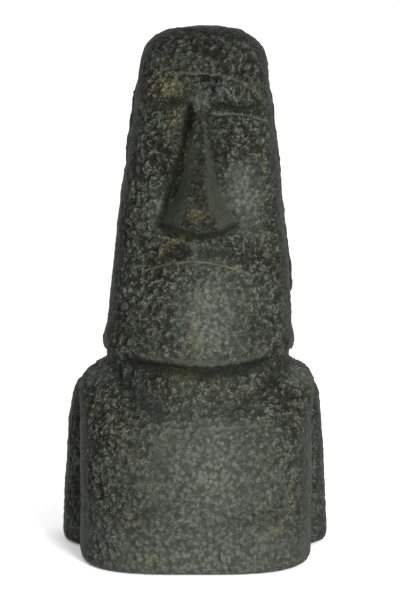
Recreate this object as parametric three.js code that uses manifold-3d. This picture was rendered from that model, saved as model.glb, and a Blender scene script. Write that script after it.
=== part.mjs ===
// A moai: a long stone head on a cut-off chest, with its arms at its sides, cast or carved in one piece.
// Millimetres, +Z up. The face looks along -Y, and the origin is the middle of the underside.
import * as THREE from "three";
import { mergeVertices } from "three/addons/utils/BufferGeometryUtils.js";
import Module from "manifold-3d";

const wasm = await Module();
wasm.setup();

// The chest, and the arms and back behind it. Fronts and backs are measured from the upright
// centre line of the head.
const height = 1000; // underside to crown
const depth = 370; // tip of the nose to the back of the arms
const chestWidth = 442;
const chestShift = 2; // how far the chest stands to the right of the arms
const chestMiddle = 20; // how far back the chest is widest
const chestFront = 189;
const chestBack = 150;
const armSpan = 529; // outside of one arm to outside of the other, at the foot
const armMiddle = 100; // how far back the arms are widest
const armFront = 24;
const neckWidth = 346;
const neckFront = 128;
const footRound = 9; // worn edge round the underside

// The head
const jawWidth = 364;
const jawCurve = 16; // how far the rim of the jaw rises from the chin to the sides
const mouthWidth = 339;
const cheekWidth = 286;
const browWidth = 256;
const crownWidth = 238;
const chinFront = 166;
const cheekFront = 127;
const eyeFront = 110; // the groove under the brow
const eyeStep = 7; // how far the top edge of the cheek stands out below that groove
const browFront = 143;
const crownFront = 112;
const headBack = 138;
const headLean = 17; // how far the crown stands to the right of the foot
const noseShift = -6; // how far the nose stands to the left of the middle of the head
const mouthShift = -12; // the same for the mouth

// The carving
const noseWidth = 142;
const noseFront = 200;
const noseBridgeFront = 134;
const noseBedding = 4; // how deep the sides of the nose are let into the face
const septumDrop = 12; // how far the middle of the nose hangs below its wings
const lipStep = 11; // how far the upper lip lies behind the lower one
const lipWidth = 196;
const lipSlope = 24; // how far the corners of the mouth lie below its middle
const philtrumWidth = 27; // the low ridge from the nose down to the mouth
const browDrop = 18; // how far the ends of the brow lie below its middle
const browRaise = 10; // how much higher it is on the left
const frownWidth = 66;
const frownDepth = 9;
const earLength = 395;
const earBreadth = 62; // front to back
const earRise = 6; // how far the rims stand out from the side of the head
const lobeRise = 7;

// Levels above the underside, as shares of the height
const at = (share) => share * height;
const elbow = at(0.13);
const collar = at(0.272); // where the neck leaves the chest
const shoulder = at(0.3);
const shoulderTop = at(0.386);
const jawRim = at(0.377);
const jawCorner = at(0.41);
const mouth = at(0.569);
const noseFoot = at(0.622);
const noseWing = at(0.634);
const cheek = at(0.73);
const eyeLedge = at(0.832);
const eyeGroove = at(0.836);
const brow = at(0.856);
const frownTop = at(0.9);
const earTop = at(0.899);
const temple = at(0.915);

const { abs, cos, exp, hypot, max, min, sin, PI } = Math;
const mix = (a, b, share) => a + (b - a) * share;
const clamp = (value, low = 0, high = 1) => min(max(value, low), high);
const ease = (share) => clamp(share) ** 2 * (3 - 2 * clamp(share));

// A smooth line through [level, size] pairs, lowest first, that never swings past them.
function profile(...stops) {
  const slope = stops
    .slice(1)
    .map(([z, v], i) => (v - stops[i][1]) / (z - stops[i][0]));
  const tangent = stops.map((_, i) => {
    const before = slope[max(i - 1, 0)];
    const after = slope[min(i, slope.length - 1)];
    return before * after > 0 ? (2 * before * after) / (before + after) : 0;
  });
  return (level) => {
    const z = clamp(level, stops[0][0], stops.at(-1)[0]);
    const i = max(0, stops.slice(1).findIndex(([top]) => z <= top));
    const rise = stops[i + 1][0] - stops[i][0];
    const t = (z - stops[i][0]) / rise;
    const bend = t * (1 - t) * ((1 - t) * tangent[i] - t * tangent[i + 1]);
    return mix(stops[i][1], stops[i + 1][1], ease(t)) + rise * bend;
  };
}

// Every level of a stack of [from, to, steps] stretches.
function levels(...stretches) {
  const all = stretches.flatMap(([from, to, steps]) =>
    Array.from({ length: steps }, (_, i) => mix(from, to, i / steps)),
  );
  return [...all, stretches.at(-1)[1]];
}

// How much of its size a form keeps as it rounds off between two levels, down to the least at the end.
function roundOff(level, from, to, fullness, least = 0) {
  const share = clamp((level - from) / (to - from));
  return max((1 - share ** fullness) ** (1 / fullness), least);
}

// How much the worn edge round the underside takes off at a level.
const worn = (level) => footRound * (1 - roundOff(footRound - level, 0, footRound, 2));

// A closed outline seen from above: how far its edge is from the middle in one direction.
function rim(turn, { half, front, back, squareness }) {
  const across = abs(cos(turn)) / half;
  const along = abs(sin(turn)) / (sin(turn) < 0 ? front : back);
  return (across ** squareness + along ** squareness) ** (-1 / squareness);
}

function solidOf(geometry) {
  geometry.deleteAttribute("normal");
  geometry.deleteAttribute("uv");
  const merged = mergeVertices(geometry, 1e-3);
  return new wasm.Manifold(
    new wasm.Mesh({
      numProp: 3,
      vertProperties: merged.getAttribute("position").array,
      triVerts: new Uint32Array(merged.index.array),
    }),
  );
}

// A closed column with one ring of points at each level. form(level) gives its section there: half, front
// and back from the point x, y, and squareness. bend(across, level) lifts the ring where it passes across.
function column(around, rows, form, bend = () => 0) {
  const shape = new THREE.CylinderGeometry(1, 1, 1, around, rows.length - 1);
  const points = shape.getAttribute("position");
  for (let i = 0; i < points.count; i++) {
    const [side, up, towards] = [points.getX(i), points.getY(i), points.getZ(i)];
    const level = rows[Math.round((up + 0.5) * (rows.length - 1))];
    const turn = Math.atan2(-towards, side);
    const s = form(level);
    const reach = hypot(side, towards) * rim(turn, s);
    const x = reach * cos(turn);
    points.setXYZ(i, s.x + x, s.y + reach * sin(turn), level + bend(x / s.half, level));
  }
  return solidOf(shape);
}

// A closed patch of carving laid over a surface. place(across, up, outer) gives the place of a point of its
// outer or inner face, for across from -1 to 1 and up from 0 to 1.
function patch(columns, rows, place) {
  const shape = new THREE.BoxGeometry(2, 1, 1, columns, 1, rows);
  const points = shape.getAttribute("position");
  for (let i = 0; i < points.count; i++) {
    const outer = points.getY(i) < 0;
    points.setXYZ(i, ...place(points.getX(i), points.getZ(i) + 0.5, outer));
  }
  return solidOf(shape);
}

// The head, from the rim of the jaw to the crown
const headHalf = profile(
  [jawRim, 0.455 * jawWidth],
  [mix(jawRim, jawCorner, 0.5), 0.484 * jawWidth],
  [jawCorner, 0.5 * jawWidth],
  [mix(jawCorner, mouth, 0.35), 0.482 * jawWidth],
  [mouth, mouthWidth / 2],
  [cheek, cheekWidth / 2],
  [brow, browWidth / 2],
  [temple, crownWidth / 2],
  [height, 0.49 * crownWidth],
);
const headFront = profile(
  [jawRim, 0.95 * chinFront],
  [mix(jawRim, jawCorner, 0.5), 0.99 * chinFront],
  [jawCorner, chinFront],
  [mouth, 0.94 * chinFront],
  [noseFoot, mix(cheekFront, chinFront, 0.5)],
  [cheek, cheekFront],
  [eyeLedge, eyeFront + eyeStep],
  [eyeGroove, eyeFront],
  [brow, browFront],
  [frownTop, 0.96 * browFront],
  [height, crownFront],
);
const headBehind = profile(
  [jawRim, 0.96 * headBack],
  [mouth, headBack],
  [cheek, headBack],
  [temple, 0.8 * headBack],
  [height, 0.66 * headBack],
);
const headSquareness = profile([jawRim, 2.7], [mouth, 3], [temple, 3]);
const lean = profile([collar, 0], [jawCorner, 0.4 * headLean], [cheek, 0.8 * headLean], [temple, headLean]);

function headForm(level) {
  const kept = roundOff(level, temple, height, 2.55, 0.06);
  return {
    x: lean(level),
    y: 0,
    half: headHalf(level) * kept,
    front: headFront(level) * kept,
    back: headBehind(level) * kept,
    squareness: headSquareness(level),
  };
}

// How far each ring of the head is bent up or down where it passes across: the rim of the jaw sags, the
// mouth and the brow are arched, and the brow is higher on the left.
const mouthDroop = -lipSlope * (mouthWidth / lipWidth) ** 2;
const droop = profile(
  [jawRim, jawCurve],
  [jawCorner, 0],
  [mouth, mouthDroop],
  [cheek, 0],
  [mix(cheek, eyeGroove, 0.5), 0],
  [eyeLedge, -browDrop],
  [brow, -0.7 * browDrop],
  [temple, 0],
);
const raise = profile([mix(cheek, eyeGroove, 0.5), 0], [eyeLedge, browRaise], [brow, browRaise], [temple, 0]);
const bend = (across, level) => droop(level) * across ** 2 + raise(level) * ease(-2 * across);

// The ring of the head that passes a place across it and a level, once it is bent.
function ringAt(x, level) {
  let ring = level;
  for (let pass = 0; pass < 8; pass++) {
    ring = level - bend(clamp((x - lean(ring)) / headForm(ring).half, -1, 1), ring);
  }
  return headForm(ring);
}

// Where the face is, front to back, at a place across it and a level.
function faceAt(x, level) {
  const s = ringAt(x, level);
  const across = clamp(abs(x - s.x) / s.half);
  return -s.front * (1 - across ** s.squareness) ** (1 / s.squareness);
}

function head() {
  const rows = levels(
    [jawRim, jawCorner, 3],
    [jawCorner, mouth, 5],
    [mouth, noseFoot, 2],
    [noseFoot, cheek, 3],
    [cheek, eyeLedge, 3],
    [eyeLedge, eyeGroove, 1],
    [eyeGroove, brow, 4],
    [brow, temple, 3],
    [temple, height, 8],
  );
  return column(60, rows, headForm, bend);
}

// The nose: a long wedge with a rounded ridge, narrow between the eyes and broad and flat-footed at the wings.
function nose() {
  const up = (share) => mix(noseWing, brow, share);
  const half = profile(
    [noseFoot, 0.4 * noseWidth],
    [mix(noseFoot, noseWing, 0.5), 0.48 * noseWidth],
    [noseWing, 0.5 * noseWidth],
    [up(0.06), 0.46 * noseWidth],
    [up(0.2), 0.37 * noseWidth],
    [up(0.38), 0.285 * noseWidth],
    [up(0.63), 0.205 * noseWidth],
    [up(0.88), 0.145 * noseWidth],
    [brow, 0.13 * noseWidth],
  );
  const front = profile(
    [noseFoot, 0.91 * noseFront],
    [noseWing, noseFront],
    [up(0.12), 0.985 * noseFront],
    [up(0.5), mix(noseBridgeFront, noseFront, 0.36)],
    [brow, noseBridgeFront],
  );
  const ridge = 0.35;
  const rows = levels([noseFoot, noseWing, 4], [noseWing, up(0.2), 4], [up(0.2), brow, 8]);
  return patch(12, rows.length - 1, (across, share, outer) => {
    const level = rows[Math.round(share * (rows.length - 1))];
    const x = lean(level) + noseShift + across * half(level);
    const low = ease((up(0.25) - level) / (up(0.25) - noseFoot));
    const slope = clamp((1 - abs(across)) / (1 - ridge));
    const flank = mix(mix(slope, ease(slope), 0.5), sin((PI / 2) * slope), low);
    const hang = septumDrop * (1 - across ** 2) * low;
    const skin = faceAt(x, level) + noseBedding;
    return [x, outer ? mix(skin, -front(level), flank) : -eyeFront / 2, level - hang];
  });
}

// The upper lip: a hollow that deepens down to the line of the mouth, where the lower lip stands proud.
// A low ridge runs down its middle from the nose.
function lipHollow() {
  return patch(16, 5, (across, up, outer) => {
    const x = lean(mouth) + mouthShift + (across * lipWidth) / 2;
    const level = mix(mouth - lipSlope * across ** 2, noseFoot, up);
    const ridge = 0.55 * exp(-(((across * lipWidth) / philtrumWidth) ** 2));
    const depth = lipStep * (1 - across ** 4) * (1 - up) * (1 - ridge);
    const clear = 2 * max(across ** 8, up);
    return [x, outer ? -2 * chinFront : faceAt(x, level) + depth - clear, level];
  });
}

// The frown: a shallow panel cut in the brow, wide above and narrowing down to the top of the nose.
function frown() {
  return patch(4, 4, (across, up, outer) => {
    const level = mix(brow, frownTop, up);
    const x = lean(level) + noseShift / 2 + (across * mix(0.55, 1, up) * frownWidth) / 2;
    return [x, outer ? -2 * browFront : faceAt(x, level) + frownDepth, level];
  });
}

// A long ear down the middle of the side of the head, with a raised rim. The ear on the right ends in a
// heavy lobe, the one on the left runs out flat.
function ear(side) {
  const breadth = profile([0, 0.3], [0.06, 0.78], [0.3, 0.8], [0.85, 1], [0.97, 0.8], [1, 0.3]);
  const lobe = side > 0 ? lobeRise : 0;
  const rise = profile([0, lobe], [0.16, 0.8 * lobe], [0.5, 0.6 * earRise], [0.9, earRise], [1, earRise]);
  const buried = 20;
  return patch(6, 14, (across, up, outer) => {
    const level = earTop - earLength * (1 - up);
    const y = (across * breadth(up) * earBreadth) / 2;
    const s = ringAt(side * jawWidth, level);
    const turn = Math.atan2(y, s.half);
    const surface = rim(turn, s) * cos(turn);
    const hollow = up < 0.16 ? 1 : mix(0.3, 1, clamp(1.5 * abs(across)) ** 2);
    const stands = outer ? rise(up) * hollow * ease(8 * (1 - abs(across))) : -buried;
    return [s.x + side * (surface + stands), side * y, level];
  });
}

// The chest spreads a little as it rises, so that its top covers the arms and makes the slope of the shoulders.
function chest() {
  const up = (share) => mix(shoulder, shoulderTop, share);
  const half = profile(
    [0, 0.5 * chestWidth],
    [collar, 0.496 * chestWidth],
    [up(0.25), 0.512 * chestWidth],
    [up(0.5), 0.492 * chestWidth],
    [up(0.75), 0.421 * chestWidth],
    [shoulderTop, 0.335 * chestWidth],
  );
  const front = profile(
    [0, chestFront],
    [elbow, chestFront],
    [0.92 * collar, 0.98 * chestFront],
    [collar, 0.94 * chestFront],
    [up(0.14), 0.76 * chestFront],
    [shoulderTop, 0.34 * chestFront],
  );
  const squareness = profile([0, 3.3], [collar, 3.3], [shoulderTop, 2.5]);
  const rows = levels([0, footRound, 3], [footRound, 0.92 * collar, 4], [0.92 * collar, shoulderTop, 8]);
  return column(60, rows, (level) => ({
    x: lean(level) + chestShift,
    y: chestMiddle,
    half: half(level) - worn(level),
    front: front(level) + chestMiddle - worn(level),
    back: chestBack - chestMiddle,
    squareness: squareness(level),
  }));
}

// The arms hang straight down at the sides of the back, and the shoulders round over into the neck.
function arms() {
  const half = profile(
    [0, 0.5 * armSpan],
    [elbow, 0.487 * armSpan],
    [shoulder, 0.458 * armSpan],
    [mix(shoulder, shoulderTop, 0.36), 0.405 * armSpan],
    [mix(shoulder, shoulderTop, 0.72), 0.32 * armSpan],
    [shoulderTop, 0.25 * armSpan],
  );
  const rows = levels([0, footRound, 3], [footRound, shoulder, 5], [shoulder, shoulderTop, 6]);
  return column(60, rows, (level) => {
    const kept = roundOff(level, shoulder, at(0.42), 2.2);
    return {
      x: lean(level),
      y: armMiddle,
      half: half(level) - worn(level),
      front: kept * (armMiddle + armFront) - worn(level),
      back: kept * (depth - noseFront - armMiddle) - worn(level),
      squareness: 2.9,
    };
  });
}

function neck() {
  const foot = 0.8 * collar;
  const front = profile([foot, 0.93 * chestFront], [collar, 0.9 * chestFront], [jawCorner, neckFront]);
  return column(40, levels([foot, collar, 2], [collar, jawCorner, 4]), (level) => ({
    x: lean(level),
    y: 0,
    half: (neckWidth / 2) * mix(0.85, 1, ease((level - foot) / (jawRim - foot))),
    front: front(level),
    back: 0.98 * headBack,
    squareness: 2.2,
  }));
}

const carved = [nose(), ear(-1), ear(1), neck(), chest(), arms()].reduce(
  (whole, piece) => whole.add(piece),
  head().subtract(frown()).subtract(lipHollow()),
);
const mesh = carved.getMesh();
const surface = new THREE.BufferGeometry()
  .setAttribute("position", new THREE.BufferAttribute(new Float32Array(mesh.vertProperties), 3))
  .setIndex(new THREE.BufferAttribute(mesh.triVerts, 1));
surface.computeBoundingBox();
const middle = surface.boundingBox.getCenter(new THREE.Vector3());

const stone = new THREE.MeshStandardMaterial({ color: 0x3c4038, roughness: 0.72, metalness: 0 });
const moai = new THREE.Mesh(surface, stone);
moai.name = "moai";
moai.position.set(-middle.x, -middle.y, 0);

export default new THREE.Group().add(moai);
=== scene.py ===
"""A moai: a long dark stone head on a cut-off chest, its skin hammered all over and worn on the high spots.

The solid frame gives the plain form. The stone here is that form with its joins worn soft, its front divided
finer, and the lines and tool marks worked into it; shade, highlights and sheen are painted into its colour.
Metres, +Z up, the face looks along -Y.
"""

import bpy
import numpy as np
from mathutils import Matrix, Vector


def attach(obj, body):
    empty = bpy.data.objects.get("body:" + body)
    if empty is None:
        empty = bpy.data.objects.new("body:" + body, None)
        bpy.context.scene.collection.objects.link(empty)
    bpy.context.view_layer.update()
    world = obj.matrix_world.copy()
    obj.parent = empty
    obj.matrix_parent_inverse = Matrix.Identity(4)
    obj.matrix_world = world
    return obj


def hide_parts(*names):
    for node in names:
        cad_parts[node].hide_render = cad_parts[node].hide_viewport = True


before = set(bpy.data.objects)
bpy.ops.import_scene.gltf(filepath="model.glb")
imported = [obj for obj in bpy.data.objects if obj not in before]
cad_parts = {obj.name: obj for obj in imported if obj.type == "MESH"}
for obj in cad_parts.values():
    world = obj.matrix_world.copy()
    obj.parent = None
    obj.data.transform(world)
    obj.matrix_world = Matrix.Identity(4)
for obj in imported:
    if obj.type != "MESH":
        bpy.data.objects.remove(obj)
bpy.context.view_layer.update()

# Where the photographer stood
CAMERA_PLACE = (0.010, -2.600, 0.750)
CAMERA_AIM = (0.010, 0.0, 0.4853)
CAMERA_LENS = 82.56  # mm
CAMERA_SENSOR = 36  # mm

# The studio
FLOOR_SIZE = 40
ROOM_LIGHT = 1.12
KEY_PLACE = (0.75, -1.9, 0.60)
KEY_AIM = (0, 0, 0.35)
KEY_SIZE = 0.5
KEY_POWER = 80  # W

# The plain form
GRAIN = 0.0070  # size of its mesh; on the front it is half of that, and in the carved middle a quarter
CARVED = (0.005, 0.090, 0.510, 0.910)  # middle, half width, foot and top of the carved middle of the face
CARVED_BACK = -0.04  # y that the carved middle is in front of
SOFTENING = 3  # passes that wear the joins soft
BROW_SOFTENING = 25  # more passes where the brow is worn rounder
ROUNDING = 50  # passes that wear a copy much rounder, to tell what stands out
FRONT_HALF = -0.05  # y that the carved lines stay in front of
CROWN = 0.9  # z above which the top of the head turns away
NOSE_FOOT = 0.62  # z of the nose's lower end
NOSE_BACK = -0.125  # y that the nose stands in front of

# Which facets of the plain form are divided, by how far they face back and up
FRONT_FACING = -0.45
UNDERSIDE_FACING = -0.85
CARVED_FACING = 0.1

# From where to where a weight rises from 0 to 1, by how far a point faces a way: 1 is full on, 0 edge on
FORWARDS = (-0.3, 0.4)
FULLY_FORWARDS = 0.6
SPOT_FACING = (0.0, 0.4)
SIDEWAYS = (0.7, 1.0)
NOSE_SIDEWAYS = (0.35, 0.7)
BACKWARDS = (0.2, 0.6)
NOT_FORWARDS = (-0.45, -0.15)
UPWARDS = (0.3, 0.8)

# The same, in metres: behind the front edge, above the foot, and how far a point lies in or stands out
BEHIND_THE_FRONT = (-0.12, -0.06)
ABOVE_THE_FOOT = (0.004, 0.02)
LIES_IN = (0.0008, 0.004)
STANDS_OUT = (0.002, 0.006)

# How much smoother a place is than the rest of the front: 1 leaves the hammering out
SMOOTHER_SIDES = 0.5
SMOOTHER_RUBBED = 0.15
SMOOTHER_FLANK = 0.8
SMOOTHER_NOSE = 0.45

# How far beside a carved line the dabs fade, in widths of the line
CLEAR_OF_RIDGES = 3.0
CLEAR_OF_CUTS = 1.2

# How much of the dabs fades at the sides and by lines, and what is left where the front turns away
FADED_AT_THE_SIDES = 0.5
FADED_BY_LINES = 0.9
LEFT_TURNED_AWAY = 0.4

# The dabs of the sides and the back: what is left of them at the sides, and how much fades where it faces up
LEFT_AT_THE_SIDES = 0.3
FADED_FACING_UP = 0.7

# How strongly the form's own hollows count for painted shade and its edges for painted highlight, beside the
# carved lines
OWN_HOLLOWS = 0.5
OWN_EDGES = 0.5

# How deep the marks are, and how large the pattern of each is
UNEVENNESS = 0.006
UNEVENNESS_SIZE = 0.07
SIDE_DAB = 0.0045
SIDE_DAB_SIZE = 0.019
COARSE_DAB = 0.0055
COARSE_DAB_SIZE = 0.0105
FINE_DAB = 0.003
FINE_DAB_SIZE = 0.007
RIDGE_HEIGHT = 0.0012
CUT_DEPTH = 0.0020

# The patterns in the stone's colour, by the size of what they show
GRIT = 0.0023
FLECK = 0.0048
PEBBLE = 0.009
PEBBLE_WANDER = 0.006  # how far the rims of the pebbles stray from straight
CLOUD = 0.06
OCHRE_CLOUD = 0.05
TEAL_CLOUD = 0.07
GRAIN_RUN = 0.4  # below 1, so that the grit and flecks run front to back

# The stone's clouds: from where to where in its pattern each kind rises from 0 to 1
CLOUD_EDGE = (0.4, 0.6)
OCHRE_EDGE = (0.56, 0.7)
TEAL_EDGE = (0.58, 0.68)

# The height that the colours go by: how much of it each part makes, and what is taken off
RELIEF_IN_HEIGHT = 0.26
GRIT_IN_HEIGHT = 1.15
FLECK_IN_HEIGHT = 0.55
HEIGHT_DROP = 0.48
PITS_TO_SKIN = (0.36, 0.5)  # heights over which the pits' colour gives way to the skin's
SKIN_TO_TIPS = (0.59, 0.7)  # heights over which the skin's gives way to the worn tips'
TIPS_LOST_WHERE_SMOOTH = 0.7

# The pebbles: how strong they are on the sides and the back, and which part of each is pale or dark
PEBBLES_AWAY = 0.5
RUBBED_PEBBLE = (0.4, 0.85)
SIDE_PEBBLE = (0.5, 0.85)
PEBBLE_GAP = (0.55, 0.35)

# The fine relief that only the light sees, and the shine
BUMP_DEPTH = 0.0034
PEBBLE_IN_BUMP = 1.3
ROUGHNESS = 0.58
SMOOTHER_WHERE_RUBBED = 0.12
SHINE = 0.08

# The stone's colours, as a screen shows them out of 255
PIT = (11, 12, 7)
PIT_PALER = (19, 20, 14)
SKIN = (25, 26, 20)
SKIN_PALER = (35, 38, 32)
OCHRE_STAIN = (68, 67, 42)
TEAL_STAIN = (36, 53, 48)
WORN_TIP = (96, 97, 88)
# Painted sheen and light on the rubbed spots, partly wear
SHEEN_AND_RUBBED_TIP = (90, 94, 87)
SIDE_TIP = (72, 75, 67)
GAP = (26, 28, 22)
# Painted shade for the darkened spots
SPOT_SHADE = (22, 23, 18)
NOSE_SIDE = (48, 50, 42)
# Painted shade, laid in creases and under the brows, nose and jaw
PAINTED_SHADE = (9, 10, 6)
# Painted highlight along ledges and forward edges, partly edge wear
EDGE_HIGHLIGHT_AND_WEAR = (86, 90, 79)

# Spots on the front, as x, z and half their width and height: those rubbed smoother and painted pale as
# sheen and light, those darkened with painted shade, and those stained
RUBBED_AND_SHEEN = [
    # The chin
    (0.035, 0.468, 0.052, 0.080),
    (0.026, 0.516, 0.030, 0.024),
    # Between the brows
    (0.012, 0.857, 0.015, 0.011),
    # The cheeks, right and left
    (0.085, 0.680, 0.030, 0.055),
    (-0.068, 0.668, 0.010, 0.020),
    # The chest and its foot
    (0.020, 0.180, 0.110, 0.110),
    (0.010, 0.030, 0.185, 0.080),
    # The shoulders
    (-0.190, 0.352, 0.030, 0.018),
    (0.200, 0.352, 0.030, 0.018),
]
# Painted shade: spots darkened where shade falls, on the nose's ridge, the jaw's sides, the neck's left and
# the forehead
SHADED_SPOTS = [
    # The ridge of the nose
    (0.006, 0.740, 0.022, 0.110),
    # The sides of the jaw
    (0.100, 0.440, 0.050, 0.045),
    (-0.100, 0.440, 0.050, 0.050),
    # The left of the neck
    (-0.100, 0.335, 0.045, 0.035),
    # The forehead
    (0.020, 0.940, 0.100, 0.050),
]
OCHRE = [
    (-0.048, 0.880, 0.034, 0.030),
    (-0.034, 0.826, 0.018, 0.018),
    (-0.026, 0.612, 0.022, 0.012),
    (-0.016, 0.368, 0.040, 0.018),
    (0.000, 0.648, 0.012, 0.008),
    (0.000, 0.440, 0.014, 0.045),
    (0.143, 0.080, 0.018, 0.018),
    (-0.085, 0.030, 0.030, 0.016),
]
TEAL = [
    (-0.070, 0.672, 0.008, 0.014),
    (0.080, 0.738, 0.020, 0.014),
    (0.046, 0.872, 0.010, 0.010),
    (0.022, 0.852, 0.010, 0.008),
    (-0.020, 0.456, 0.010, 0.022),
    (0.052, 0.588, 0.016, 0.010),
    (0.050, 0.270, 0.030, 0.020),
]

# The nose, which is dabbed more lightly, and where the brow is worn rounder
NOSE = [(0.006, 0.720, 0.045, 0.110)]
SOFT_BROW = [(-0.070, 0.850, 0.050, 0.030), (0.037, 0.876, 0.018, 0.026)]

# Lines of the carving, as x, z points, then how wide each is and how strong. The ridges are raised a little
# and painted light along them as a highlight, partly edge wear
RIDGES_AND_HIGHLIGHTS = [
    # The mouth
    ([(-0.088, 0.551), (-0.065, 0.559), (-0.038, 0.566), (-0.003, 0.569), (0.028, 0.566)], 0.0014, 0.85),
    ([(0.028, 0.566), (0.060, 0.559), (0.082, 0.552), (0.098, 0.5455)], 0.0014, 0.8),
    # The ledge under the right brow
    ([(0.033, 0.833), (0.050, 0.831), (0.071, 0.832), (0.095, 0.829), (0.133, 0.820)], 0.0016, 0.9),
    # The tops of the frown and of the right brow
    ([(-0.024, 0.903), (0.010, 0.904), (0.044, 0.901)], 0.0016, 0.45),
    ([(0.044, 0.901), (0.072, 0.892), (0.103, 0.876), (0.128, 0.856)], 0.0022, 0.3),
    # The groove under the nose
    ([(0.001, 0.606), (0.001, 0.578)], 0.0050, 0.25),
    # The rim of the jaw
    ([(-0.100, 0.398), (-0.046, 0.391), (0.023, 0.383), (0.086, 0.389), (0.128, 0.400)], 0.0045, 0.25),
    # The top of the chest
    ([(-0.053, 0.2655), (0.010, 0.268), (0.075, 0.271), (0.140, 0.273)], 0.0020, 0.4),
]
# The cuts are sunk a little and painted dark as shade and shadow: in creases, under the brows, nose and jaw,
# beside the nose and down the neck
CUTS_AND_PAINTED_SHADE = [
    # Under the top of the frown and down its left
    ([(-0.024, 0.899), (0.010, 0.900), (0.044, 0.897)], 0.0022, 0.4),
    ([(-0.024, 0.900), (-0.019, 0.878), (-0.008, 0.849)], 0.0050, 0.55),
    # Under the brows, left and right
    ([(-0.085, 0.850), (-0.044, 0.851), (-0.020, 0.860)], 0.0120, 0.6),
    ([(0.036, 0.846), (0.082, 0.844), (0.130, 0.831)], 0.0100, 0.45),
    # Beside the nose, left in two runs and right
    ([(-0.009, 0.847), (-0.015, 0.812), (-0.022, 0.777), (-0.033, 0.732)], 0.0055, 0.9),
    ([(-0.033, 0.732), (-0.047, 0.687), (-0.063, 0.646)], 0.0055, 0.9),
    ([(0.035, 0.768), (0.044, 0.728), (0.057, 0.687), (0.075, 0.646)], 0.0030, 0.3),
    # Under the nose
    ([(-0.062, 0.633), (-0.040, 0.629), (-0.017, 0.622), (0.010, 0.616)], 0.0075, 1.0),
    ([(0.010, 0.616), (0.035, 0.620), (0.057, 0.626), (0.074, 0.632)], 0.0075, 1.0),
    # Round the wings of the nose, right and left
    ([(0.066, 0.664), (0.073, 0.650), (0.078, 0.638)], 0.0040, 0.55),
    ([(-0.060, 0.652), (-0.066, 0.642), (-0.068, 0.634)], 0.0050, 0.7),
    # The hollows above the mouth
    ([(-0.058, 0.573), (-0.030, 0.583), (-0.010, 0.587)], 0.0070, 0.75),
    ([(0.024, 0.585), (0.046, 0.584), (0.068, 0.579)], 0.0080, 0.7),
    # Under the jaw
    ([(-0.100, 0.383), (-0.046, 0.375), (0.023, 0.367), (0.086, 0.373), (0.126, 0.386)], 0.0135, 0.95),
    # Down the sides of the neck
    ([(-0.145, 0.362), (-0.125, 0.335), (-0.095, 0.312), (-0.060, 0.292)], 0.0120, 0.45),
    ([(0.150, 0.362), (0.130, 0.335), (0.100, 0.312), (0.065, 0.292)], 0.0120, 0.3),
]


# Shaping


def select_only(piece):
    bpy.ops.object.select_all(action="DESELECT")
    piece.select_set(True)
    bpy.context.view_layer.objects.active = piece


def finish_with(piece, kind, **settings):
    """Adds a modifier, sets it up and applies it."""
    select_only(piece)
    modifier = piece.modifiers.new(kind.lower(), kind)
    for name, value in settings.items():
        setattr(modifier, name, value)
    bpy.ops.object.modifier_apply(modifier=modifier.name)


def vectors(piece, kind):
    """The "co" (places) or "normal" (facings) of a piece's points, one row for each."""
    flat = np.empty(len(piece.data.vertices) * 3, np.float32)
    piece.data.vertices.foreach_get(kind, flat)
    return flat.reshape(-1, 3)


def places(piece):
    return vectors(piece, "co")


def facings(piece):
    return vectors(piece, "normal")


def between(value, low, high):
    """0 below low, 1 above high, and a smooth rise from one to the other."""
    share = np.clip((value - low) / (high - low), 0, 1)
    return share * share * (3 - 2 * share)


def patches(stone, spots):
    """How much each point lies in any of the spots, on the side that looks forwards."""
    x, _, z = places(stone).T
    share = np.zeros(len(x), np.float32)
    for across, level, half_width, half_height in spots:
        reach = ((x - across) / half_width) ** 2 + ((z - level) / half_height) ** 2
        share = np.maximum(share, np.exp(-reach))
    return share * between(-facings(stone)[:, 1], *SPOT_FACING)


def along(stone, lines, spread=1.0):
    """How near each point of the front is to any of the lines: most on one, fading out at its width."""
    x, y, z = places(stone).T
    share = np.zeros(len(x), np.float32)
    for points, width, strength in lines:
        for (x0, z0), (x1, z1) in zip(points, points[1:]):
            run, rise = x1 - x0, z1 - z0
            part = np.clip(((x - x0) * run + (z - z0) * rise) / (run**2 + rise**2), 0, 1)
            distance = np.hypot(x - x0 - part * run, z - z0 - part * rise)
            share = np.maximum(share, strength * np.exp(-((distance / (spread * width)) ** 2)))
    return share * (y < FRONT_HALF)


def weigh(stone, name, weights):
    """A vertex group, so that a modifier works fully in some places and faintly in others."""
    group = stone.vertex_groups.new(name=name)
    steps = 20
    for step in range(steps + 1):
        picked = np.nonzero(np.round(weights * steps) == step)[0]
        group.add(picked.tolist(), step / steps, "REPLACE")


def keep(stone, name, values):
    """Keeps a number for each point, for the stone's colours."""
    kept = stone.data.attributes.new(name, "FLOAT", "POINT")
    kept.data.foreach_set("value", np.clip(values, 0, 1).astype(np.float32))


def looks_forwards(facet):
    """Whether a facet looks forwards and isn't on the underside."""
    return facet.normal.y < FRONT_FACING and facet.normal.z > UNDERSIDE_FACING


def is_carved(facet):
    """Whether a facet is in the carved middle of the face, where the lines need the finest mesh."""
    middle, half_width, foot, top = CARVED
    x, y, z = facet.center
    inside = abs(x - middle) < half_width and foot < z < top and y < CARVED_BACK
    return inside and facet.normal.y < CARVED_FACING


def divide(stone, wanted):
    """Divides the wanted facets in four."""
    select_only(stone)
    bpy.ops.object.mode_set(mode="EDIT")
    bpy.ops.mesh.select_all(action="DESELECT")
    bpy.ops.mesh.select_mode(type="FACE")
    bpy.ops.object.mode_set(mode="OBJECT")
    for facet in stone.data.polygons:
        facet.select = wanted(facet)
    bpy.ops.object.mode_set(mode="EDIT")
    bpy.ops.mesh.subdivide(number_cuts=1, smoothness=0.0)
    bpy.ops.object.mode_set(mode="OBJECT")


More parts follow.
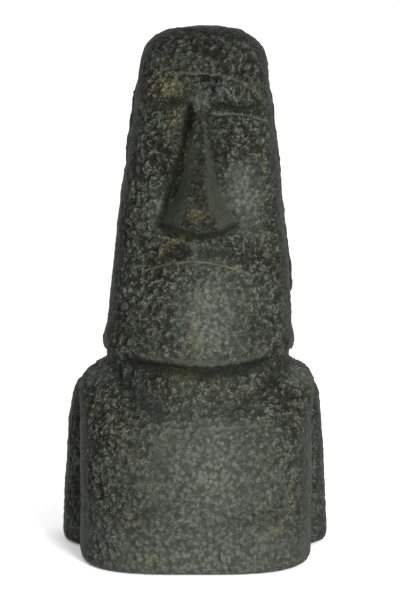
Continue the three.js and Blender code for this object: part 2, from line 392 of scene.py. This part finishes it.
def plain_form():
    """A copy of the solid, remeshed evenly, with its facets and joins worn soft."""
    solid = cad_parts["moai"]
    stone = bpy.data.objects.new("moai_stone", solid.data.copy())
    bpy.context.collection.objects.link(stone)
    select_only(stone)
    bpy.ops.object.mode_set(mode="EDIT")
    bpy.ops.mesh.select_all(action="SELECT")
    bpy.ops.mesh.remove_doubles(threshold=1e-5)
    bpy.ops.object.mode_set(mode="OBJECT")
    finish_with(stone, "REMESH", mode="VOXEL", voxel_size=GRAIN, use_smooth_shade=True)
    divide(stone, looks_forwards)
    divide(stone, is_carved)
    finish_with(stone, "SHRINKWRAP", target=solid, wrap_method="NEAREST_SURFACEPOINT")
    finish_with(stone, "SMOOTH", factor=0.5, iterations=SOFTENING)
    weigh(stone, "soft_brow", patches(stone, SOFT_BROW))
    finish_with(stone, "SMOOTH", factor=0.5, iterations=BROW_SOFTENING, vertex_group="soft_brow")
    return stone


def prominence(stone):
    """How far each point stands out from the same form worn much rounder, in metres; below 0 in hollows."""
    select_only(stone)
    bpy.ops.object.duplicate()
    rounder = bpy.context.object
    finish_with(rounder, "SMOOTH", factor=0.5, iterations=ROUNDING)
    lost = places(stone) - places(rounder)
    bpy.data.objects.remove(rounder)
    return (lost * facings(stone)).sum(axis=1)


# Tool marks


def dabs(name, size, twist):
    """Irregular round marks side by side. It is lowest in their middles, so depths below 0 raise those."""
    pattern = bpy.data.textures.new(name, "DISTORTED_NOISE")
    pattern.noise_scale = size
    pattern.noise_basis = "VORONOI_F1"
    pattern.noise_distortion = "IMPROVED_PERLIN"
    pattern.distortion = twist
    return pattern


def swell(name, size, depth):
    """Soft uneven swellings, with finer ones on them as depth grows."""
    pattern = bpy.data.textures.new(name, "CLOUDS")
    pattern.noise_scale = size
    pattern.noise_depth = depth
    return pattern


def mark(stone, depth, group, pattern=None):
    """Raises the points of a group by a depth, or round the middle of a pattern by up to half of it."""
    how = {"texture_coords": "LOCAL", "strength": depth, "vertex_group": group, "mid_level": 0.0}
    if pattern:
        how.update(texture=pattern, mid_level=0.5)
    finish_with(stone, "DISPLACE", **how)


def choose_places(stone):
    """Weighs where each kind of mark goes, and keeps what the colours go by that the marks don't change."""
    y, z = places(stone)[:, 1:].T
    across, back, up = facings(stone).T
    forwards = between(-back, *FORWARDS)
    sideways = between(np.hypot(across, up * (z > CROWN)), *SIDEWAYS)
    away = between(back, *NOT_FORWARDS) * between(y, *BEHIND_THE_FRONT)
    foot = between(z, *ABOVE_THE_FOOT)
    rubbed_and_sheen = patches(stone, RUBBED_AND_SHEEN)
    flank = between(np.abs(across), *NOSE_SIDEWAYS) * (y < NOSE_BACK) * (z > NOSE_FOOT)
    nose = patches(stone, NOSE)
    smooth = np.maximum(SMOOTHER_SIDES * sideways, SMOOTHER_RUBBED * rubbed_and_sheen)
    smooth = np.maximum(smooth, np.maximum(SMOOTHER_FLANK * flank, SMOOTHER_NOSE * nose))
    lined = np.maximum(along(stone, RIDGES_AND_HIGHLIGHTS, CLEAR_OF_RIDGES), along(stone, CUTS_AND_PAINTED_SHADE, CLEAR_OF_CUTS))
    dabbed = (1 - smooth) * (1 - FADED_AT_THE_SIDES * sideways) * (1 - FADED_BY_LINES * lined)
    dabbed = dabbed * (LEFT_TURNED_AWAY + (1 - LEFT_TURNED_AWAY) * forwards) * foot
    on_the_back = LEFT_AT_THE_SIDES + (1 - LEFT_AT_THE_SIDES) * between(back, *BACKWARDS)
    off_the_top = 1 - FADED_FACING_UP * between(up, *UPWARDS)
    # The ridges, which also carry painted highlight
    ridges_and_highlights = along(stone, RIDGES_AND_HIGHLIGHTS)
    # The cuts, which also carry painted shade
    cuts_and_shade = along(stone, CUTS_AND_PAINTED_SHADE)
    stands = prominence(stone)
    weigh(stone, "standing", foot)
    weigh(stone, "dabbed", dabbed)
    weigh(stone, "sides", away * on_the_back * off_the_top * foot)
    weigh(stone, "ridges_and_highlights", ridges_and_highlights)
    weigh(stone, "cuts_and_shade", cuts_and_shade)
    # The rubbed spots, smoother and painted lighter as sheen and light
    keep(stone, "rubbed_and_sheen", rubbed_and_sheen)
    keep(stone, "smooth", smooth)
    keep(stone, "away", away)
    keep(stone, "flank", flank)
    # Painted shade: darker in the form's own hollows and along the cuts
    keep(stone, "painted_shade", np.maximum(OWN_HOLLOWS * between(-stands, *LIES_IN), cuts_and_shade))
    # Painted highlight, partly edge wear: lighter on the form's forward edges and along the ridges
    keep(stone, "edge", np.maximum(OWN_EDGES * between(stands, *STANDS_OUT) * forwards, ridges_and_highlights))


def hammer(stone):
    """Works the lines and the marks of the hammer into the form, and keeps how high the marks stand.

    The relief kept is 0.5 at the front's middle height, and 0.8 where only 15 of 100 points are higher.
    """
    choose_places(stone)
    mark(stone, UNEVENNESS, "standing", swell("hand_work", UNEVENNESS_SIZE, depth=2))
    mark(stone, RIDGE_HEIGHT, "ridges_and_highlights")
    mark(stone, -CUT_DEPTH, "cuts_and_shade")
    before = places(stone)
    facing = facings(stone)
    mark(stone, -SIDE_DAB, "sides", dabs("side_dabs", SIDE_DAB_SIZE, twist=0.8))
    mark(stone, -COARSE_DAB, "dabbed", dabs("coarse_dabs", COARSE_DAB_SIZE, twist=0.6))
    mark(stone, FINE_DAB, "dabbed", swell("fine_dabs", FINE_DAB_SIZE, depth=1))
    rise = ((places(stone) - before) * facing).sum(axis=1)
    middle, high = np.percentile(rise[-facing[:, 1] > FULLY_FORWARDS], [50, 85])
    keep(stone, "relief", 0.5 + 0.3 * (rise - middle) / (high - middle))
    keep(stone, "ochre", patches(stone, OCHRE))
    keep(stone, "teal", patches(stone, TEAL))
    # The darkened spots, for painted shade
    keep(stone, "darkened_spots", patches(stone, SHADED_SPOTS))


# Materials


class Reading:
    """A number or colour read over the surface. Arithmetic on numbers adds Math nodes."""

    def __init__(self, finish, socket):
        self.finish = finish
        self.socket = socket

    def maths(self, operation, *values):
        return self.finish.node("ShaderNodeMath", {"operation": operation}, dict(enumerate(values)))

    def __add__(self, other):
        return self.maths("ADD", self, other)

    def __sub__(self, other):
        return self.maths("SUBTRACT", self, other)

    def __rsub__(self, other):
        return self.maths("SUBTRACT", other, self)

    def __mul__(self, other):
        return self.maths("MULTIPLY", self, other)

    __radd__ = __add__
    __rmul__ = __mul__

    def between(self, low, high):
        """0 at low, 1 at high, smooth between. Low may be the greater one."""
        values = {"Value": self, "From Min": low, "From Max": high}
        return self.finish.node("ShaderNodeMapRange", {"interpolation_type": "SMOOTHSTEP"}, values, "Result")


class Finish:
    """One material, and the ways its nodes are added."""

    def __init__(self, name):
        self.material = bpy.data.materials.new(name)
        self.material.use_nodes = True
        self.tree = self.material.node_tree
        self.shader = self.tree.nodes["Principled BSDF"]

    def join(self, socket, value):
        if isinstance(value, Reading):
            self.tree.links.new(value.socket, socket)
        else:
            socket.default_value = value

    def node(self, kind, settings, values, output=0):
        """Adds a node. Its settings are set first, and then the values or links of its sockets."""
        made = self.tree.nodes.new(kind)
        for name, value in settings.items():
            setattr(made, name, value)
        for name, value in values.items():
            self.join(made.inputs[name], value)
        return Reading(self, made.outputs[output])

    def place(self, stretch=1.0):
        """The place on the stone, in metres. Patterns read at it run front to back if stretch is below 1."""
        spot = self.node("ShaderNodeTexCoord", {}, {}, "Object")
        return self.node("ShaderNodeMapping", {}, {"Vector": spot, "Scale": (1, stretch, 1)})

    def attribute(self, name):
        return self.node("ShaderNodeAttribute", {"attribute_name": name}, {}, "Fac")

    def noise(self, size, detail=2.0, roughness=0.5, distortion=0.0, stretch=1.0):
        values = {"Vector": self.place(stretch), "Scale": 1 / size, "Detail": detail, "Roughness": roughness}
        return self.node("ShaderNodeTexNoise", {}, {**values, "Distortion": distortion})

    def cells(self, size, wander):
        """How far a place is from the middle of its cell: 0 there, near 1 at the rims.

        The rims stray by up to about wander, in waves half as long as a cell.
        """
        shift = self.node("ShaderNodeTexNoise", {}, {"Vector": self.place(), "Scale": 2 / size}, "Color")
        spot = self.mix("ADD", self.place(), shift, wander)
        return self.node("ShaderNodeTexVoronoi", {}, {"Vector": spot, "Scale": 1 / size}, "Distance")

    def mix(self, how, below, above, share):
        """Puts two colours or places together. A Mix node takes colours at 6 and 7 and gives them at 2."""
        settings = {"data_type": "RGBA", "blend_type": how}
        return self.node("ShaderNodeMix", settings, {"Factor": share, 6: below, 7: above}, 2)

    def blend(self, below, above, share):
        return self.mix("MIX", below, above, share)

    def set(self, **values):
        """Sets or links the shader's own sockets, with _ for the spaces in their names."""
        for name, value in values.items():
            self.join(self.shader.inputs[name.replace("_", " ")], value)


def colour(screen):
    """A colour as the shader takes it, from its red, green and blue out of 255 as a screen shows them."""
    shares = [c / 255 for c in screen]
    return (*[((c + 0.055) / 1.055) ** 2.4 if c > 0.04 else c / 12.92 for c in shares], 1)


def ground(stone, height):
    """The colour under all wear: near black in the pits, grey-green above them, with clouds and stains."""
    cloud = stone.noise(CLOUD, detail=3, roughness=0.6).between(*CLOUD_EDGE)
    pits = stone.blend(colour(PIT), colour(PIT_PALER), cloud)
    skin = stone.blend(colour(SKIN), colour(SKIN_PALER), cloud)
    ochre_clouds = stone.noise(OCHRE_CLOUD, detail=4, roughness=0.6).between(*OCHRE_EDGE)
    ochre = ochre_clouds * 0.28 + stone.attribute("ochre") * 0.56
    skin = stone.blend(skin, colour(OCHRE_STAIN), ochre)
    teal_clouds = stone.noise(TEAL_CLOUD, detail=3, roughness=0.6, distortion=0.4).between(*TEAL_EDGE)
    teal = teal_clouds * 0.32 + stone.attribute("teal") * 0.6
    skin = stone.blend(skin, colour(TEAL_STAIN), teal)
    return stone.blend(pits, skin, height.between(*PITS_TO_SKIN))


def hammered_stone():
    """Dark grey-green stone, near black in its pits and pale where the high spots are worn, with painted
    shade, highlight and sheen.
    """
    stone = Finish("hammered_stone")
    rubbed_and_sheen = stone.attribute("rubbed_and_sheen")
    away = stone.attribute("away")
    worked = rubbed_and_sheen + away * PEBBLES_AWAY
    grit = stone.noise(GRIT, roughness=0.75, stretch=GRAIN_RUN)
    fleck = stone.noise(FLECK, roughness=0.6, distortion=0.6, stretch=GRAIN_RUN)
    pebble = 1 - stone.cells(PEBBLE, PEBBLE_WANDER)
    height = stone.attribute("relief") * RELIEF_IN_HEIGHT + grit * GRIT_IN_HEIGHT
    height = height + fleck * FLECK_IN_HEIGHT - HEIGHT_DROP
    tips = height.between(*SKIN_TO_TIPS) * (1 - stone.attribute("smooth") * TIPS_LOST_WHERE_SMOOTH)
    # The colours of wear, stains, painted shade and painted light in the order they are laid on, with where
    # each lies and how strongly
    layers = [
        (WORN_TIP, tips * 0.65),
        # Painted sheen and light on the rubbed spots, with their pebbles
        (SHEEN_AND_RUBBED_TIP, rubbed_and_sheen * (pebble.between(*RUBBED_PEBBLE) * 0.26 + 0.38)),
        (SIDE_TIP, away * pebble.between(*SIDE_PEBBLE) * 0.4),
        (GAP, worked * pebble.between(*PEBBLE_GAP) * 0.45),
        # Painted shade on the darkened spots
        (SPOT_SHADE, stone.attribute("darkened_spots") * 0.3),
        (NOSE_SIDE, stone.attribute("flank") * 0.6),
        # Painted shade in creases and under overhangs
        (PAINTED_SHADE, stone.attribute("painted_shade") * 0.8),
        # Painted highlight along ledges and edges, partly edge wear
        (EDGE_HIGHLIGHT_AND_WEAR, stone.attribute("edge") * 0.7),
    ]
    body = ground(stone, height)
    for tint, share in layers:
        body = stone.blend(body, colour(tint), share)
    raised = {"Strength": 1.0, "Distance": BUMP_DEPTH, "Height": height + pebble * worked * PEBBLE_IN_BUMP}
    bump = stone.node("ShaderNodeBump", {}, raised, "Normal")
    roughness = ROUGHNESS - rubbed_and_sheen * SMOOTHER_WHERE_RUBBED
    stone.set(Base_Color=body, Roughness=roughness, Normal=bump, Specular_IOR_Level=SHINE)
    return stone.material


def floor_paint():
    paint = Finish("pale_floor")
    paint.set(Base_Color=(1, 1, 1, 1), Roughness=1.0, Specular_IOR_Level=0.0)
    return paint.material


# The studio


def aim(thing, place, target):
    """Turns a light or a camera at a place towards a target."""
    thing.rotation_euler = (Vector(target) - Vector(place)).to_track_quat("-Z", "Y").to_euler()


def floor():
    bpy.ops.mesh.primitive_plane_add(size=FLOOR_SIZE, location=(0, 0, 0))
    sheet = bpy.context.object
    sheet.name = "floor"
    sheet.data.materials.append(floor_paint())


def room():
    world = bpy.data.worlds.new("pale_room")
    world.use_nodes = True
    background = world.node_tree.nodes["Background"]
    background.inputs["Color"].default_value = (1, 1, 1, 1)
    background.inputs["Strength"].default_value = ROOM_LIGHT
    bpy.context.scene.world = world


def key_light():
    bpy.ops.object.light_add(type="AREA", location=KEY_PLACE)
    lamp = bpy.context.object
    lamp.name = "key"
    lamp.data.shape = "SQUARE"
    lamp.data.size = KEY_SIZE
    lamp.data.energy = KEY_POWER
    aim(lamp, KEY_PLACE, KEY_AIM)


def camera():
    bpy.ops.object.camera_add(location=CAMERA_PLACE)
    eye = bpy.context.object
    eye.name = "photograph"
    eye.data.sensor_width = CAMERA_SENSOR
    eye.data.lens = CAMERA_LENS
    aim(eye, CAMERA_PLACE, CAMERA_AIM)
    bpy.context.scene.camera = eye


# The statue

stone = plain_form()
hammer(stone)
stone.data.materials.clear()
stone.data.materials.append(hammered_stone())
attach(stone, "root")
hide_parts("moai")

floor()
room()
key_light()
camera()
bpy.context.scene.view_settings.view_transform = "Standard"
